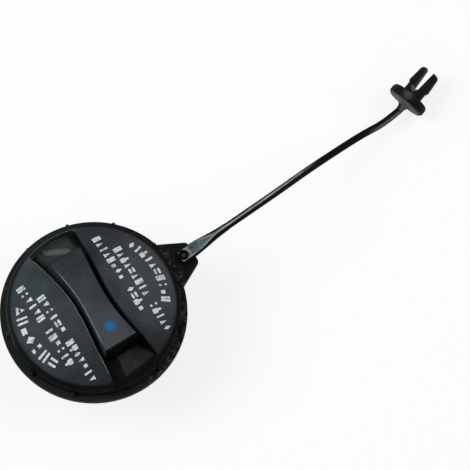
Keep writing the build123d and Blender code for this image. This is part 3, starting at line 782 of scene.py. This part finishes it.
def strapPaint(name, lined):
    # black, and lined for the flat top that has a painted highlight line along it
    paint = Paint(name)
    cloud = paint.noise(3.0, 3.0, stretch=(0.3, 1.2, 1.2), shift=3.0)
    colour = paint.mix(cloud.fade(0.3, 0.7), *shades(strap["tone"], 0.8, 1.25))
    # painted light greys the near side towards the clip
    grey = (-paint.faceY).fade(0.1, 0.6) * paint.x.fade(*strap["nearClipLightStarts"]) * (0.5 + 0.5 * cloud)
    colour = paint.coat(colour, grey, strap["nearClipLightTone"])
    if lined:
        # painted highlight along the flat top
        wearAndSheen = paint.x.fade(*strap["highlightLineEnds"]) * (0.6 + 0.4 * cloud.fade(0.35, 0.55))
        colour = paint.coat(colour, wearAndSheen, strap["highlightLineTone"])
    paint.surface(Base_Color=colour, Roughness=0.45 + 0.14 * cloud, Specular_IOR_Level=0.06)
    paint.surface(Normal=paint.bump(paint.noise(0.5, 3.0), 0.02))
    return paint.material


def addStrap():
    line = routeLine()
    half = strap["section"]
    outline = half + [(-u, v) for u, v in reversed(half)]

    def build(bm):
        rings = []
        for i, point in enumerate(line):
            way = (line[min(i + 1, len(line) - 1)] - line[max(i - 1, 0)]).normalized()
            turn = math.radians(strap["twist"]) * i / (len(line) - 1)
            side = way.cross(Vector((0, 0, 1))).normalized()
            side.rotate(Matrix.Rotation(turn, 3, way))
            lift = side.cross(way)
            rings.append([bm.verts.new(point / mm + side * u + lift * v) for u, v in outline])
        for face in skin(bm, rings):
            face.material_index = 1  # the flat top closes the outline

    piece = addMesh("tetherStrap", strapPaint("strapPlastic", False), "tether", build)
    piece.data.materials.append(strapPaint("strapTop", True))
    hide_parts("tether_strap")


addStrap()
print("strap laid")


# The push-in clip at the far end
clip = {
    "middle": (164.8, 14.7, 8.9),   # mm, of its flange
    "axis": (0.945, 0.296, 0.139),  # towards its prongs
    "tone": (14, 14, 13),
    # painted light on the rear face and the boss
    "rearLightTone": (92, 92, 89),
    # painted sheen on the flange and the neck
    "sheenSpots": [                     # mm from the flange's middle
        {"ahead": 1.2, "left": 0.0, "reach": 3.4, "tone": (55, 64, 60)},
        {"ahead": 5.2, "left": 0.4, "reach": 2.0, "tone": (78, 82, 79)},
    ],
}


def clipPaint():
    paint = Paint("clipPlastic")
    rearward = -paint.vector("DOT_PRODUCT", paint.facing, clip["axis"], output="Value")
    apart = paint.vector("SUBTRACT", paint.place, clip["middle"])
    along = paint.vector("DOT_PRODUCT", apart, clip["axis"], output="Value")
    left = (-clip["axis"][1], clip["axis"][0], 0.0)
    sideways = paint.vector("DOT_PRODUCT", apart, left, output="Value")
    cloud = paint.noise(2.4, 3.0, shift=4.0)
    colour = paint.mix(cloud.fade(0.3, 0.7), *shades(clip["tone"], 0.7, 1.35))
    # painted light on the rear face and the boss's near side
    boss = along.fade(-2.2, -3.0) * (-paint.faceY).fade(-0.3, 0.5)
    rear = rearward.fade(0.45, 0.9).larger(boss)
    colour = paint.coat(colour, rear * (0.5 + 0.5 * cloud), clip["rearLightTone"])
    # painted sheen on the top of the flange and the neck
    for spot in clip["sheenSpots"]:
        away = span(along - spot["ahead"], sideways - spot["left"]) + (cloud - 0.5) * 2.0
        colour = paint.coat(colour, away.fade(spot["reach"], 0.3) * paint.up.fade(0.1, 0.6), spot["tone"])
    paint.surface(Base_Color=colour, Roughness=0.5 + 0.12 * cloud, Specular_IOR_Level=0.06)
    paint.surface(Normal=paint.bump(paint.noise(0.45, 3.0), 0.02))
    return paint.material


dress("push_clip", clipPaint())
print("clip painted")


# What is under the grip: plug, seal, vent valve and springs
inner = {
    "grain": 0.4,             # mm
    "grainDepth": 0.02,
    "rubberGrain": 0.25,
    "steelTones": [(150, 152, 156), (196, 198, 200)],
}

# node: its material's name, tone and roughness
innerPlastics = {
    "closure_body": ("plugPlastic", (46, 47, 48), 0.4),
    "closure_lid": ("lidPlastic", (58, 58, 56), 0.45),
    "lock_ring": ("lockRingPlastic", (40, 41, 43), 0.4),
    "torque_ring": ("torqueRingPlastic", (186, 182, 170), 0.42),
    "valve_housing": ("housingPlastic", (34, 35, 36), 0.42),
    "spring_cap": ("springCapPlastic", (60, 61, 62), 0.42),
    "valve_plate": ("platePlastic", (72, 70, 66), 0.42),
    "vacuum_poppet": ("poppetPlastic", (176, 172, 160), 0.4),
    "stem_clip": ("stemClipPlastic", (150, 147, 138), 0.42),
}

innerRubbers = {
    "neck_gasket": ("gasketRubber", (22, 22, 23)),
    "valve_seal": ("sealRubber", (28, 27, 27)),
}


def innerPlastic(name, tone, rough):
    # a plain moulding: faint clouding and a fine grain
    paint = Paint(name)
    cloud = paint.noise(9.0, 3.0)
    paint.surface(Base_Color=paint.mix(cloud.fade(0.3, 0.7), *shades(tone, 0.86, 1.12)))
    paint.surface(Roughness=rough - 0.08 + 0.16 * cloud)
    paint.surface(Normal=paint.bump(paint.noise(inner["grain"], 3.0, rough=0.6), inner["grainDepth"]))
    return paint.material


def rubber(name, tone):
    # matt black with a paler bloom
    paint = Paint(name)
    bloom = paint.noise(5.0, 4.0, shift=2.0)
    colour = paint.mix(bloom.fade(0.35, 0.7), *shades(tone, 1.0, 1.6))
    paint.surface(Base_Color=colour, Roughness=0.68 + 0.16 * bloom, Specular_IOR_Level=0.25)
    paint.surface(Normal=paint.bump(paint.noise(inner["rubberGrain"], 3.0), inner["grainDepth"]))
    return paint.material


def springSteel():
    paint = Paint("springSteel")
    drawn = paint.noise(0.5, 3.0, stretch=(1.0, 1.0, 0.3))
    paint.surface(Base_Color=paint.blend(drawn, inner["steelTones"]), Metallic=1.0)
    paint.surface(Roughness=0.26 + 0.14 * drawn, Normal=paint.bump(drawn, 0.006))
    return paint.material


for node, look in innerPlastics.items():
    dress(node, innerPlastic(*look))
for node, look in innerRubbers.items():
    dress(node, rubber(*look))
print("inner pieces painted")


# The two coil springs, each copied from its CAD node onto a body, listed with its valve's joint and its held
# end
springs = {
    "pressure_spring": {"name": "pressureCoil", "body": "closure", "joint": "pressure_lift", "held": "top"},
    "vacuum_spring": {"name": "vacuumCoil", "body": "pressure_valve", "joint": "vacuum_drop", "held": "foot"},
}


def addCoil(node, coil, steel):
    piece = bpy.data.objects.new(coil["name"], cadNodes[node].data.copy())
    piece.data.materials.clear()
    piece.data.materials.append(steel)
    bpy.context.scene.collection.objects.link(piece)
    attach(piece, coil["body"])
    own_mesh(piece)
    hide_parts(node)


steel = springSteel()
for node, coil in springs.items():
    addCoil(node, coil, steel)
print("springs made")
